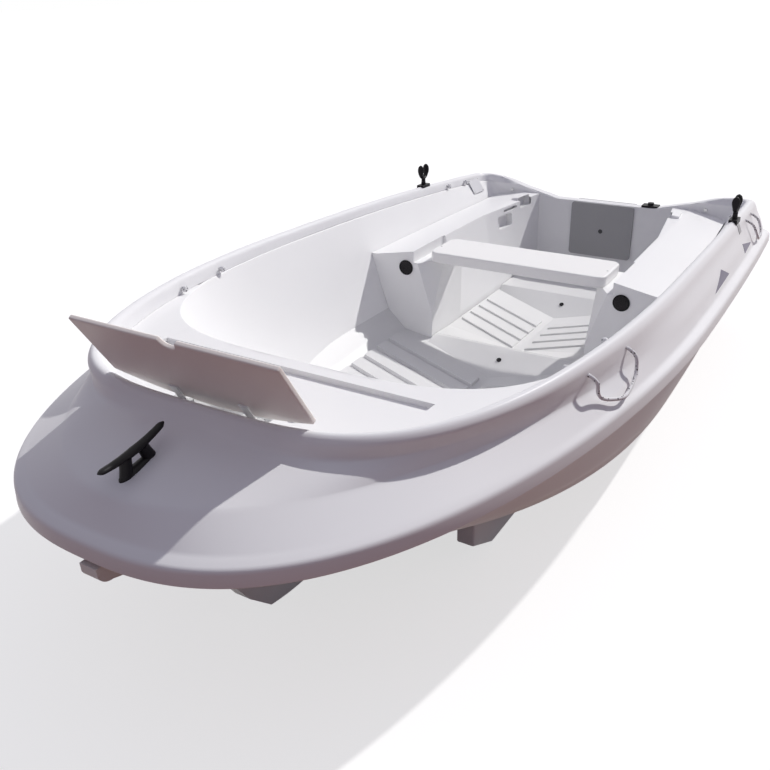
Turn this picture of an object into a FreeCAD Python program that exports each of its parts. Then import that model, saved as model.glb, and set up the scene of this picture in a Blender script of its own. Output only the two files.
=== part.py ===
import FreeCAD, Part
import math
import os

Vector = FreeCAD.Vector
os.makedirs("parts", exist_ok=True)
doc = FreeCAD.newDocument("rowing_boat")

# Driving dimensions in millimetres, +X forward, +Y to port, +Z up, keel foot at z 0
sheet = doc.addObject("Spreadsheet::Sheet", "sizes")


def size(row, name, value):
    """Store one driving dimension in the sheet and give it back as a number."""
    sheet.set("A%d" % row, name)
    sheet.set("B%d" % row, str(value))
    sheet.setAlias("B%d" % row, name)
    return float(value)


bow_x = size(1, "bow_reach", 1500)
stern_x = -size(2, "stern_reach", 1490)
flange_half = size(3, "flange_half_beam", 745)
sheer_bow = size(4, "sheer_height_bow", 455)
sheer_drop = size(5, "sheer_drop_aft", 83)
sheer_from = size(6, "sheer_level_ahead_of", 600)
skin = size(7, "skin_thickness", 5)
crest_rise = size(8, "crest_rise", 168)
lip_rise = size(9, "lip_rise", 130)
board_thick = size(10, "transom_core_thickness", 40)
keel_width = size(11, "keel_width", 44)
runner_width = size(12, "runner_width", 50)
bench_front_x = -size(13, "bench_front_aft", 385)
bench_height = size(14, "bench_top_height", 465)
thwart_thick = size(15, "thwart_thickness", 40)
thwart_width = size(16, "thwart_width", 200)
lid_width = size(17, "lid_width", 540)
lid_length = size(18, "lid_length", 228)
lid_thick = size(19, "lid_thickness", 12)
lid_open = size(20, "lid_open_angle", 121.6)
pin_fit = size(21, "running_clearance", 0.05)
rope_thick = size(22, "rope_diameter", 9)
plug_wide = size(23, "plug_diameter", 58)
plate_thick = size(24, "floor_thickness", 4)
hinge_pin = size(25, "hinge_pin_diameter", 5)
swivel_pin = size(26, "rowlock_pin_diameter", 12)
liner_skin = size(27, "liner_thickness", 7)
rib_pitch = size(28, "floor_rib_pitch", 80)
rib_height = size(29, "floor_rib_height", 11)
yoke_thick = size(30, "rowlock_yoke_thickness", 16)
doc.recompute()


def feature(name, shape):
    """A node whose shape is made in code."""
    item = doc.addObject("Part::Feature", name)
    item.Label = name
    item.Shape = shape
    return item


def new_body(name):
    item = doc.addObject("PartDesign::Body", name)
    item.Label = name
    return item


def outline(body, name, plane, lines, height=0.0, along=0.0):
    """A closed sketch on one of the body's own planes; a line is (x, y) and an arc (x, y, through)."""
    sketch = body.newObject("Sketcher::SketchObject", name)
    holder = [f for f in body.Origin.OriginFeatures if f.Role == plane][0]
    sketch.AttachmentSupport = [(holder, "")]
    sketch.MapMode = "FlatFace"
    sketch.AttachmentOffset = FreeCAD.Placement(Vector(0, along, height), FreeCAD.Rotation())
    for k, point in enumerate(lines):
        here = Vector(point[0], point[1], 0)
        after = lines[(k + 1) % len(lines)]
        there = Vector(after[0], after[1], 0)
        if len(after) == 3:
            through = Vector(after[2][0], after[2][1], 0)
            sketch.addGeometry(Part.Arc(here, through, there))
        else:
            sketch.addGeometry(Part.LineSegment(here, there))
    return sketch


def pad(body, name, sketch, length, both=False, alias=None):
    item = body.newObject("PartDesign::Pad", name)
    item.Profile = sketch
    item.Length = length
    item.Midplane = both
    if alias:
        item.setExpression("Length", "sizes.%s" % alias)
    return item


def pocket(body, name, sketch, length):
    item = body.newObject("PartDesign::Pocket", name)
    item.Profile = sketch
    item.Length = length
    item.Midplane = True
    return item


def solid_of(item):
    doc.recompute()
    return item.Shape.copy()


def prism(points, low, high):
    """Upright prism over a plan outline."""
    wire = Part.makePolygon([Vector(x, y, low) for x, y in points + points[:1]])
    return Part.Face(wire).extrude(Vector(0, 0, high - low))


# Rails: every moulding is a stack of plan outlines of one family, blunt at the bow
widest_x = -100.0


def sheer(x):
    """Height of the flange's lower edge: level forward, falling aft."""
    return sheer_bow - sheer_drop * (max(0.0, sheer_from - x) / 2000.0) ** 2


def rail_points(apex, half, stern_half, bow_power, side_power, height, end_x, steps=9):
    points = []
    for k in range(4):
        x = end_x + (widest_x - end_x) * k / 4.0
        y = half - (half - stern_half) * ((widest_x - x) / (widest_x - end_x)) ** 2
        points.append((x, y))
    for k in range(steps + 1):
        turn = math.pi / 2 * k / steps
        x = widest_x + (apex - widest_x) * math.sin(turn) ** (2 / bow_power)
        y = half * max(math.cos(turn), 0.0) ** (2 / side_power) if k < steps else 0.0
        points.append((x, y))
    return [Vector(x, y, height(x, y)) for x, y in points]


def rail(apex, half, stern_half, bow_power, side_power, height, end_x=stern_x):
    """One closed rail: a straight run across the stern and two mirrored curves to the bow."""
    port = rail_points(apex, half, stern_half, bow_power, side_power, height, end_x)
    starboard = [Vector(p.x, -p.y, p.z) for p in port]
    edges = [Part.makeLine(starboard[0], port[0])]
    for side, points in ((1, port), (-1, starboard)):
        nose = Vector(0, -side, 0) if side_power >= 2 else points[-1] - points[-2]
        curve = Part.BSplineCurve()
        curve.interpolate(Points=points, InitialTangent=points[1] - points[0], FinalTangent=nose)
        edges.append(curve.toShape())
    return Part.Wire(edges)


def skin_loft(rails):
    """A closed skin: the rails run along one face and back along the other."""
    return Part.makeLoft([rail(*r) for r in rails], True, True, True)


def lift(amount, bow_amount=None):
    """Height above the sheer line, with a different amount at the bow."""
    ahead = amount if bow_amount is None else bow_amount

    def height(x, y):
        share = min(1.0, max(0.0, x / 600.0))
        return sheer(x) + amount + (ahead - amount) * share
    return height


def crown(amount, bow_amount, ridge):
    """Height above the sheer line with a ridge along the middle of the foredeck."""
    plain = lift(amount, bow_amount)

    def height(x, y):
        ahead = min(1.0, max(0.0, (x - 900.0) / 200.0))
        return plain(x, y) + ridge * ahead * math.exp(-(y / 190.0) ** 2)
    return height


def rise(middle, bow, apex):
    """Height of a hull rail: level along the middle body, climbing to the stem."""
    def height(x, y):
        climb = max(0.0, (x - 100.0) / (apex - 100.0))
        return middle + (bow - middle) * climb ** 2.4
    return height


# Hull moulding: keel band, rounded bottom, sides and stern wall
hull_rails = [
    # apex, half breadth, half breadth at stern, powers, height amidships and at the stem
    (988, 20, 20, 2.0, 2.0, 40, 44),
    (1082, 301, 271, 2.0, 1.55, 80, 114),
    (1108, 473, 433, 1.85, 1.5, 122, 184),
    (1187, 573, 533, 1.89, 1.47, 172, 252),
    (1253, 660, 618, 2.22, 1.45, 223, 337),
    (1416, 698, 656, 2.11, 1.6, 349, 396),
]


def hull_rail(row, inset):
    apex, half, stern_half, p, q, middle, bow = row
    drop = inset * 0.8 if half < 600 else inset * 0.2
    return (apex - inset, max(half - inset * 0.6, 1), stern_half - inset * 0.6, p, q,
            rise(middle + drop, bow + inset * 0.6, apex), stern_x + inset)


hull_top = [
    (bow_x - 26, flange_half - 26, flange_half - 69, 1.95, 2.5, lift(-skin)),
    (bow_x - 6, flange_half - 5, flange_half - 49, 1.95, 2.6, lift(-skin)),
    (bow_x - 6, flange_half - 5, flange_half - 49, 1.95, 2.6, lift(0)),
    (bow_x - 32, flange_half - 32, flange_half - 75, 1.95, 2.5, lift(0)),
]
hull_skin = skin_loft([hull_rail(r, 0) for r in hull_rails] + hull_top[:3]
                      + [hull_top[3] + (stern_x + skin,)]
                      + [hull_rail(r, skin) for r in reversed(hull_rails)])
band = Part.makeBox(2460, keel_width, 4, Vector(stern_x, -keel_width / 2, 40.5))
hull_shell = feature("hull_shell", hull_skin.fuse(band))

# Keel, stem piece and bilge runners: their feet are level, so the boat stands on them
keel_lines = [(-1480, 0), (880, 0), (1040, 18, (962, 5)), (1112, 88), (1172, 180), (1224, 252), (1302, 330),
              (1396, 376), (1466, 398), (1498, 420, (1488, 406)), (1499, 440), (1440, 440), (1370, 402),
              (1290, 360), (1225, 300), (1155, 230), (1100, 160), (1030, 100), (960, 60), (-1480, 60)]
keel_body = new_body("keel_blank")
keel_sketch = outline(keel_body, "keel_outline", "XZ_Plane", keel_lines)
pad(keel_body, "keel_pad", keel_sketch, keel_width, both=True, alias="keel_width")


def below(blank, shell):
    """What is left of a blank under the shell: the piece with the lowest middle."""
    left = blank.cut(shell).Solids
    return min(left, key=lambda s: s.BoundBox.ZMin * 10 + s.CenterOfMass.z)


keel = feature("keel", below(solid_of(keel_body), hull_shell.Shape))
runner_lines = [(-1440, 0), (520, 0), (640, 60), (640, 200), (-1440, 200)]
runners = []
for side in (1, -1):
    runner_body = new_body("runner_blank_%s" % ("port" if side > 0 else "starboard"))
    runner_sketch = outline(runner_body, "runner_outline", "XZ_Plane", runner_lines, height=-side * 350)
    pad(runner_body, "runner_pad", runner_sketch, runner_width, both=True, alias="runner_width")
    runners.append(below(solid_of(runner_body), hull_shell.Shape))
feature("bilge_runners", Part.makeCompound(runners))

# Deck moulding: flange, cove, coaming and rounded crest in one swept skin round the boat
deck_rails = [
    (bow_x, flange_half, flange_half - 45, 1.95, 2.6, lift(0), stern_x),
    (bow_x - 2, flange_half - 2, flange_half - 47, 1.95, 2.6, lift(36), stern_x),
    (1472, 717, 672, 2.2, 2.45, lift(48), stern_x + 1),
    (1425, 702, 657, 2.0, 2.0, crown(88, 92, 8), stern_x + 2),
    (1222, 678, 636, 2.42, 2.97, crown(126, 124, 24), stern_x + 3),
    (1198, 668, 627, 2.5, 3.6, crown(152, 158, 5), stern_x + 4),
    (1182, 652, 612, 2.5, 3.7, lift(crest_rise, crest_rise + 8), stern_x + 16),
    (1160, 634, 594, 2.5, 3.7, lift(crest_rise - 8, crest_rise), stern_x + 36),
    (1150, 627, 587, 2.5, 3.7, lift(lip_rise), stern_x + 50),
    (1155, 632, 592, 2.5, 3.7, lift(lip_rise), stern_x + 45),
    (1165, 639, 599, 2.5, 3.7, lift(156, 164), stern_x + 34),
    (1180, 650, 610, 2.5, 3.7, lift(162, 170), stern_x + 18),
    (1192, 662, 621, 2.5, 3.6, crown(148, 154, 4), stern_x + 10),
    (1216, 672, 630, 2.42, 2.97, crown(121, 119, 24), stern_x + 8),
    (1420, 697, 652, 2.0, 2.0, crown(83, 87, 8), stern_x + 7),
    (1467, 712, 667, 2.2, 2.45, lift(43), stern_x + 6),
    (1493, 738, 693, 1.95, 2.6, lift(31), stern_x + 5),
    (1495, 740, 695, 1.95, 2.6, lift(0), stern_x + 5),
]
deck_skin = skin_loft(deck_rails)

# Transom top: low for the motor in the middle, rising to the quarters
dip_lines = [(-760, 700), (-760, 505), (-600, 517), (-500, 522, (-548, 523)), (-470, 512, (-483, 518)),
             (-370, 487), (-225, 452), (-200, 449), (200, 449), (225, 452), (370, 487), (470, 512),
             (500, 522, (483, 518)), (600, 517, (548, 523)), (760, 505), (760, 700)]


def dip_tool(start, end):
    body = new_body("dip_%d" % abs(start))
    sketch = outline(body, "dip_outline_%d" % abs(start), "YZ_Plane", dip_lines, height=start)
    pad(body, "dip_pad_%d" % abs(start), sketch, end - start)
    return solid_of(body)


transom_dip = dip_tool(-1560, stern_x + 53)
deck_moulding = feature("deck_moulding", deck_skin.cut(transom_dip))

# Transom core: a board between the stern walls of hull, deck moulding and liner
core_half = [(0, 62), (255, 108), (415, 152), (520, 205), (596, 280), (640, 356), (640, 440), (585, 519),
             (500, 522), (470, 512), (370, 487), (225, 452), (200, 449)]
core_lines = core_half + [(-y, z) for y, z in core_half[:0:-1]]
core_body = new_body("core_blank")
core_sketch = outline(core_body, "core_outline", "YZ_Plane", core_lines, height=stern_x + skin)
pad(core_body, "core_pad", core_sketch, board_thick, alias="transom_core_thickness")


def largest(shape):
    return max(shape.Solids, key=lambda s: s.Volume)


core_shape = solid_of(core_body).cut(deck_moulding.Shape).cut(hull_shell.Shape)
transom_core = feature("transom_core", largest(core_shape))


# Cockpit liner: side walls, raked forward bulkhead and inner stern wall
sole_low = 84
sole_slope = 0.155
sole_chine = 420
side_slope = 0.95


def floor_height(x, y):
    """Top of the cockpit sole: a shallow V that turns up steeply outside the chine."""
    out = abs(y)
    return sole_low + sole_slope * min(out, sole_chine) + side_slope * max(0, out - sole_chine)


def level(height):
    return lambda x, y: height


liner_stern = stern_x + skin + board_thick
inner_face_x = liner_stern + liner_skin
liner_rows = [
    (836, 627, 587, 4.2, 3.6, lift(lip_rise)),
    (805, 575, 535, 3.9, 3.2, level(440)),
    (763, 534, 494, 3.35, 2.78, level(308)),
    (690, 505, 465, 2.4, 2.2, floor_height),
]


def liner_rail(row, inset):
    """A rail of the liner, moved in by an inset, or out by a negative one."""
    apex, half, stern_half, bow_power, side_power, height = row
    return (apex - inset, half - inset, stern_half - inset, bow_power, side_power, height, liner_stern + inset)


dip = dip_tool(inner_face_x - 124, inner_face_x + 2)
liner_rails = [liner_rail(r, 0) for r in liner_rows] + [liner_rail(r, liner_skin) for r in liner_rows[::-1]]
cockpit_liner = feature("cockpit_liner", skin_loft(liner_rails).cut(dip))

# Bow deck: a level plate under the coaming's lip, with a recessed panel, rim and locker hatch
deck_level = sheer_bow + lip_rise
panel_level = deck_level - 13
bow_outline = [(p.x, p.y) for p in rail_points(1153, 630, 590, 2.5, 3.7, level(0), stern_x, steps=18)]
bow_outline = [p for p in bow_outline if p[0] > 500]
bow_plan = bow_outline + [(x, -y) for x, y in bow_outline[-2::-1]]
recess_half = [(872, 385), (1000, 376), (1060, 330, (1036, 358)), (1085, 285, (1076, 310)), (1104, 225),
               (1118, 0, (1116, 110))]
bow_plate = prism(bow_plan, panel_level - plate_thick, deck_level)
top_row = liner_rows[0][:5]
liner_front_plan = [(p.x, p.y) for p in rail_points(*top_row, level(0), liner_stern, steps=18)]
liner_front_plan = [p for p in liner_front_plan if p[0] > 400]
liner_plan = liner_front_plan + [(x, -y) for x, y in liner_front_plan[-2::-1]]
bow_blank = bow_plate.cut(prism(liner_plan, 0, 900)).cut(cockpit_liner.Shape)


def recess_tool(low, high, points):
    """Upright prism over a half outline with arcs, mirrored to the other side."""
    edges = []
    for side in (1, -1):
        for k in range(1, len(points)):
            start = Vector(points[k - 1][0], side * points[k - 1][1], low)
            end = Vector(points[k][0], side * points[k][1], low)
            if len(points[k]) == 3:
                through = Vector(points[k][2][0], side * points[k][2][1], low)
                edges.append(Part.Arc(start, through, end).toShape())
            else:
                edges.append(Part.makeLine(start, end))
    back = points[0]
    edges.append(Part.makeLine(Vector(back[0], -back[1], low), Vector(back[0], back[1], low)))
    wire = Part.Wire(Part.__sortEdges__(edges))
    return Part.Face(wire).extrude(Vector(0, 0, high - low))


hatch_tool = Part.makeBox(112, 220, 60, Vector(984, -110, panel_level - 30))
bow_deck_shape = bow_blank.cut(recess_tool(panel_level, deck_level + 1, recess_half)).cut(hatch_tool)
feature("bow_deck", bow_deck_shape.cut(deck_moulding.Shape))

# Bow locker: the tub under the hatch
tub_outer = Part.makeBox(130, 240, 190, Vector(975, -120, panel_level - plate_thick - 190))
tub_inner = Part.makeBox(112, 220, 190, Vector(984, -110, panel_level - plate_thick - 186))
feature("bow_locker_tub", tub_outer.cut(tub_inner))

# Bow locker lid: a flat board, convex in front, with a finger notch in its aft edge
hinge_x = 1119
hinge_z = deck_level + 6
lid_body = new_body("lid_blank")
half_lid = lid_width / 2
lid_back = hinge_x - lid_length
lid_lines = [(lid_back, -half_lid), (1066, -half_lid), (1066, half_lid, (1109, 0)), (lid_back, half_lid),
             (lid_back, 22), (lid_back + 20, 12, (lid_back + 17, 18)),
             (lid_back + 20, -12, (lid_back + 23, 0)), (lid_back, -22, (lid_back + 17, -18))]
lid_seat = panel_level + 5
lid_sketch = outline(lid_body, "lid_outline", "XY_Plane", lid_lines, height=lid_seat)
pad(lid_body, "lid_pad", lid_sketch, lid_thick, alias="lid_thickness")
leaf_boxes = []
knuckles = []
posts = []
for y in (-95, 95):
    knuckle = Part.makeCylinder(hinge_pin / 2 + 2.5, 24, Vector(hinge_x, y - 12, hinge_z), Vector(0, 1, 0))
    bore = Part.makeCylinder(hinge_pin / 2 + pin_fit, 40, Vector(hinge_x, y - 20, hinge_z), Vector(0, 1, 0))
    leaf = Part.makeBox(50, 24, 3, Vector(hinge_x - 50, y - 12, lid_seat + lid_thick))
    knuckles.append(knuckle.fuse(leaf).cut(bore).removeSplitter())
    pin = Part.makeCylinder(hinge_pin / 2, 50, Vector(hinge_x, y - 25, hinge_z), Vector(0, 1, 0))
    for end in (-1, 1):
        low_y = y + end * 19 - 6
        post = Part.makeBox(12, 12, hinge_z - deck_level + 4, Vector(hinge_x - 6, low_y, deck_level))
        pin = pin.fuse(post)
    posts.append(pin.removeSplitter())


def opened(shape):
    """The lid's pieces are drawn closed and turned up to where the photograph shows them."""
    turned = shape.copy()
    turned.rotate(Vector(hinge_x, 0, hinge_z), Vector(0, 1, 0), lid_open)
    return turned


buffers = [Part.makeCylinder(9, 4.5, Vector(1055, y, panel_level)) for y in (-150, 150)]
feature("lid_buffers", Part.makeCompound(buffers))
feature("bow_locker_lid", opened(solid_of(lid_body)))
feature("lid_hinge_leaves", opened(Part.makeCompound(knuckles)))
feature("lid_hinge_posts", Part.makeCompound(posts))

# Cockpit sole: one V-bottomed plate under the whole well, its forward part ribbed
well_half = 300


def rail_side(row, x):
    """Half breadth of a rail at a station."""
    apex, half, stern_half, p, q = row[:5]
    if x < widest_x:
        return half - (half - stern_half) * ((widest_x - x) / (widest_x - stern_x)) ** 2
    return half * (1 - ((x - widest_x) / (apex - widest_x)) ** p) ** (1 / q)


sole_half = [(0, sole_low), (sole_chine, floor_height(0, sole_chine)), (540, floor_height(0, 540))]
sole_top = [(-y, z) for y, z in sole_half[:0:-1]] + sole_half
sole_section = sole_top + [(y, z - plate_thick) for y, z in sole_top[::-1]]
sole_body = new_body("sole_blank")
sole_sketch = outline(sole_body, "sole_section", "YZ_Plane", sole_section, height=liner_stern)
pad(sole_body, "sole_pad", sole_sketch, liner_rows[3][0] - liner_stern)
foot_row = liner_rows[3][:5]
foot_half = [(p.x, p.y) for p in rail_points(*foot_row, level(0), liner_stern, steps=14)]
foot_plan = foot_half + [(x, -y) for x, y in foot_half[-2::-1]]
sole_plate = solid_of(sole_body).common(prism(foot_plan, 0, 400)).cut(cockpit_liner.Shape)


def across(stations, side):
    """A loft over sections at several distances from the middle; each has (x, z) corners."""
    wires = []
    for y, corners in stations:
        points = [Vector(x, side * y, z) for x, z in corners]
        wires.append(Part.makePolygon(points + points[:1]))
    return Part.makeLoft(wires, True, True)


def both_sides(middle, outer):
    """A plate with one section at the middle and one at the well's side, on both sides."""
    stations = [(0, middle), (well_half, outer)]
    return across(stations, 1).fuse(across(stations, -1)).removeSplitter()


groove = 15
centre_gap = 20
forward_sweep = 0.25
first_groove = -227
forward_ribs = []
for k in range(9):
    front = first_groove + (k + 1) * (rib_pitch + 6) - groove / 2
    reach = min(sole_chine - 6, rail_side(foot_row, front) - 22)
    for side in (1, -1):
        stations = []
        for y in (centre_gap, reach):
            ahead = front - forward_sweep * (y - centre_gap)
            behind = ahead - rib_pitch - 6 + groove
            base = floor_height(0, y)
            stations.append((y, [(behind, base - 2), (behind + 5, base + rib_height),
                                 (ahead - 5, base + rib_height), (ahead, base - 2)]))
        forward_ribs.append(across(stations, side))
feature("cockpit_sole", largest(sole_plate).multiFuse(forward_ribs).removeSplitter())

# Forward riser: a ramp from the sole to a low ridge across the well
ridge_x = -398
ridge_z = 142
floor_side = floor_height(0, well_half)
riser_forward = feature("floor_riser_forward", both_sides(
    [(-258, sole_low), (ridge_x, ridge_z), (ridge_x - 12, ridge_z), (-272, sole_low)],
    [(-350, floor_side), (ridge_x - 7, ridge_z), (ridge_x - 19, ridge_z), (-364, floor_side)]))

# Aft floor: a plate that falls from the ridge to the sole's V, with chevron ribs
flat_x = -520
floor_low = sole_low + plate_thick + 1
floor_out = floor_side + plate_thick + 1
aft_end = -896
aft_end_out = -1000
back_x = ridge_x - 13
plate_middle = [(back_x, ridge_z), (flat_x, floor_low), (aft_end, floor_low), (aft_end, floor_low - plate_thick),
                (flat_x, floor_low - plate_thick), (back_x, ridge_z - 5)]
plate_outer = [(back_x - 7, ridge_z), (flat_x - 7, floor_out), (aft_end_out, floor_out),
               (aft_end_out, floor_out - plate_thick), (flat_x - 7, floor_out - plate_thick),
               (back_x - 7, ridge_z - 5)]
aft_ribs = []
aft_sweep = 0.35
for k in range(4):
    front = -830 + (k + 1) * rib_pitch - groove / 2
    for side in (1, -1):
        stations = []
        for y in (centre_gap + 4, well_half - 12):
            ahead = front - aft_sweep * (y - centre_gap)
            behind = ahead - rib_pitch + groove
            base = floor_low + (floor_out - floor_low) * y / well_half
            stations.append((y, [(behind, base - 2), (behind + 4, base + 7), (ahead - 4, base + 7),
                                 (ahead, base - 2)]))
        aft_ribs.append(across(stations, side))
feature("aft_floor", both_sides(plate_middle, plate_outer).multiFuse(aft_ribs).removeSplitter())

# Aft riser, its foot following the chevrons, and the stern platform behind it
platform_x = -1033
platform_z = 148
riser_aft = feature("floor_riser_aft", both_sides(
    [(aft_end - 3, sole_low), (platform_x, platform_z), (platform_x - 10, platform_z), (aft_end - 18, sole_low)],
    [(-1010, floor_side), (platform_x, platform_z), (platform_x - 10, platform_z), (-1022, floor_side)]))
platform = Part.makeBox(platform_x - 10 - inner_face_x, 2 * well_half, plate_thick,
                        Vector(inner_face_x, -well_half, platform_z - plate_thick))
feature("stern_platform", platform)

# Side benches: hollow mouldings with a ledge for the thwart and a cut-back front corner
ledge_z = 422
ledge_back_x = bench_front_x - 243
ledge_step_y = 380
bench_runs = [
    # station, inner foot, inner top: a straight block in front, then a sloping run to the stern
    [(bench_front_x, 302, 298), (ledge_back_x, 302, 298)],
    [(ledge_back_x + 20, 303, 374), (-970, 302, 368), (inner_face_x, 301, 304)],
]


def bench_solid(inset):
    """The bench's form, moved in by an inset."""
    runs = []
    for run in bench_runs:
        wires = []
        for k, (x, foot, top) in enumerate(run):
            x = x - inset if x == bench_front_x else x + inset if k == len(run) - 1 else x
            points = [(foot + inset, 60), (foot + inset, 160), (top + inset, bench_height - inset),
                      (ledge_step_y, bench_height - inset), (540, bench_height - 30 - inset),
                      (600, bench_height - 30 - inset), (600, 60)]
            wires.append(Part.makePolygon([Vector(x, y, z) for y, z in points + points[:1]]))
        runs.append(Part.makeLoft(wires, True, True))
    return runs[0].fuse(runs[1])


# The corner facet is the plane through three points measured on it
corner_low = Vector(-397, 307, 275)
corner_back = Vector(-486, 290, 405)
corner_top = Vector(bench_front_x + 5, ledge_step_y, bench_height)
along_back = corner_back - corner_low
along_top = corner_top - corner_low
facet_normal = along_back.cross(along_top).normalize()
facet = [corner_low + along_back * s + along_top * t for s, t in ((-4, -3), (4, -3), (4, 4), (-4, 4))]
knee = Part.Face(Part.makePolygon(facet + facet[:1])).extrude(facet_normal * -400)
inner_knee = knee.translated(facet_normal * plate_thick)


def ledge_tool(inset):
    """What is taken off above the ledge that carries the thwart."""
    return Part.makeBox(260 + inset, 230, 100, Vector(ledge_back_x - inset, ledge_step_y - 230 + inset,
                                                      ledge_z - inset))


outer_bench = bench_solid(0).cut([ledge_tool(0), knee])
inner_bench = bench_solid(plate_thick).cut([ledge_tool(plate_thick), inner_knee])
bench_skin = outer_bench.cut(inner_bench)

# The room inside the liner, just clear of its face
room_rows = [liner_rows[3][:5] + (level(60),), liner_rows[3][:5] + (level(floor_height(0, 503)),),
             liner_rows[2], liner_rows[1], liner_rows[0][:5] + (level(600),)]
room = Part.makeLoft([rail(*liner_rail(r, liner_skin + 0.3)) for r in room_rows], True, True)
below_lines = sole_top + [(560, 290), (700, 420), (700, -100), (-700, -100), (-700, 420), (-560, 290)]
below_sole = Part.makePolygon([Vector(liner_stern - 90, y, z) for y, z in below_lines + below_lines[:1]])
below_guard = Part.Face(below_sole).extrude(Vector(1400, 0, 0))
bench_port_shape = largest(bench_skin.common(room).cut(below_guard))
feature("side_bench_port", bench_port_shape)
feature("side_bench_starboard", bench_port_shape.mirror(Vector(), Vector(0, 1, 0)))

# Thwart: a loose board resting in the ledges of both benches
thwart_body = new_body("thwart_blank")
thwart_front = bench_front_x - 35
thwart_back = thwart_front - thwart_width
thwart_half = 335
thwart_lines = [(thwart_front, -300, (thwart_front - 10, -325)), (thwart_front, 300),
                (thwart_front - 35, thwart_half, (thwart_front - 10, 325)),
                (thwart_back + 35, thwart_half), (thwart_back, 300, (thwart_back + 10, 325)),
                (thwart_back, -300), (thwart_back + 35, -thwart_half, (thwart_back + 10, -325)),
                (thwart_front - 35, -thwart_half)]
thwart_sketch = outline(thwart_body, "thwart_outline", "XY_Plane", thwart_lines, height=ledge_z)
pad(thwart_body, "thwart_pad", thwart_sketch, thwart_thick, alias="thwart_thickness")
thwart = feature("thwart", solid_of(thwart_body))


# Motor pads on both faces of the transom, held by one bolt whose heads are sunk in them
pad_half = 142
pad_top = 449
pad_tall = 241
inner_pad_thick = 10
outer_pad_thick = 10
pad_lines = [(-pad_half, pad_top - pad_tall), (pad_half, pad_top - pad_tall), (pad_half, pad_top),
             (-pad_half, pad_top)]
bolt_z = 325
head_radius = 10
shank = Part.makeCylinder(5, inner_face_x + inner_pad_thick - stern_x + 2,
                          Vector(stern_x - 5, 0, bolt_z), Vector(1, 0, 0))
heads = [Part.makeCylinder(head_radius, 4, Vector(inner_face_x + inner_pad_thick - 4.5, 0, bolt_z),
                           Vector(1, 0, 0)),
         Part.makeCylinder(head_radius, 4, Vector(stern_x - outer_pad_thick + 0.5, 0, bolt_z), Vector(1, 0, 0))]
bolt_shape = shank.fuse(heads).common(Part.makeBox(inner_face_x + inner_pad_thick - stern_x + outer_pad_thick - 1,
                                                   40, 40, Vector(stern_x - outer_pad_thick + 0.5, -20,
                                                                  bolt_z - 20)))
feature("pad_bolt", bolt_shape.removeSplitter())
sinks = [Part.makeCylinder(head_radius, 9, Vector(inner_face_x + inner_pad_thick - 4.5, 0, bolt_z),
                           Vector(1, 0, 0)),
         Part.makeCylinder(head_radius, 9, Vector(stern_x - outer_pad_thick - 4.5, 0, bolt_z), Vector(1, 0, 0))]
for name, start, thick in (("motor_pad_inner", inner_face_x, inner_pad_thick),
                           ("motor_pad_outer", stern_x - outer_pad_thick, outer_pad_thick)):
    pad_body = new_body(name + "_blank")
    pad_sketch = outline(pad_body, name + "_outline", "YZ_Plane", pad_lines, height=start)
    pad_block = pad(pad_body, name + "_pad", pad_sketch, thick)
    doc.recompute()
    corner_edges = ["Edge%d" % (n + 1) for n, e in enumerate(pad_block.Shape.Edges)
                    if abs(e.BoundBox.XLength - thick) < 0.01]
    fillet = pad_body.newObject("PartDesign::Fillet", name + "_corners")
    fillet.Base = (pad_block, corner_edges)
    fillet.Radius = 14
    feature(name, solid_of(pad_body).cut([shank] + sinks))
for item in (hull_shell, deck_moulding, transom_core, cockpit_liner):
    item.Shape = item.Shape.cut(shank)

# Black fitting on the transom top beside the motor pad, with a boss in its middle
socket_y = 203
socket_top = 470
socket_base = Part.makeBox(46, 70, 14, Vector(stern_x + 1, socket_y - 35, 446))
socket_boss = Part.makeCylinder(13, socket_top - 452, Vector(stern_x + 24, socket_y, 452))
socket_shape = socket_base.fuse(socket_boss)
for item in (deck_moulding, transom_core, cockpit_liner, hull_shell):
    socket_shape = socket_shape.cut(item.Shape)
feature("stern_socket", largest(socket_shape).removeSplitter())

# Transom bolts: one through each quarter, with a round head outside and a nut inside
quarter_y = 440
quarter_z = 470
bolts = []
for side in (1, -1):
    shank = Part.makeCylinder(4, inner_face_x - stern_x, Vector(stern_x, side * quarter_y, quarter_z),
                              Vector(1, 0, 0))
    for item in (hull_shell, deck_moulding, transom_core, cockpit_liner):
        item.Shape = item.Shape.cut(shank)
    nut = Part.makeCylinder(8, 6, Vector(inner_face_x, side * quarter_y, quarter_z), Vector(1, 0, 0))
    head = Part.makeCylinder(10, 7, Vector(stern_x - 4, side * quarter_y, quarter_z), Vector(1, 0, 0))
    head = head.cut(deck_moulding.Shape)
    bolts.append(shank.fuse([nut, largest(head)]).removeSplitter())
feature("transom_bolts", Part.makeCompound(bolts))

# Horn cleat on the foredeck, its bar level with the sloping deck
cleat_x = 1346
cleat_z = 573
cleat_tilt = 9
cleat_body = new_body("cleat_blank")
cleat_lines = [(-45, -12), (45, -12), (45, 6), (30, 14, (36, 8)), (30, 28), (87, 40, (60, 31)),
               (85, 50, (91, 46)), (0, 44, (43, 42)), (-85, 50, (-43, 42)), (-87, 40, (-91, 46)),
               (-30, 28, (-60, 31)), (-30, 14), (-45, 6, (-36, 8))]
cleat_sketch = outline(cleat_body, "cleat_outline", "XZ_Plane", cleat_lines)
pad(cleat_body, "cleat_pad", cleat_sketch, 20, both=True)
slot_sketch = outline(cleat_body, "cleat_slot", "XZ_Plane", [(-14, 8), (14, 8), (14, 28), (-14, 28)])
pocket(cleat_body, "cleat_slot_cut", slot_sketch, 60)
cleat_blank = solid_of(cleat_body)
cleat_blank.rotate(Vector(), Vector(0, 1, 0), cleat_tilt)
cleat_blank.translate(Vector(cleat_x, 0, cleat_z))
cleat_shape = max(cleat_blank.cut(deck_moulding.Shape).Solids, key=lambda s: s.CenterOfMass.z)
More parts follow.
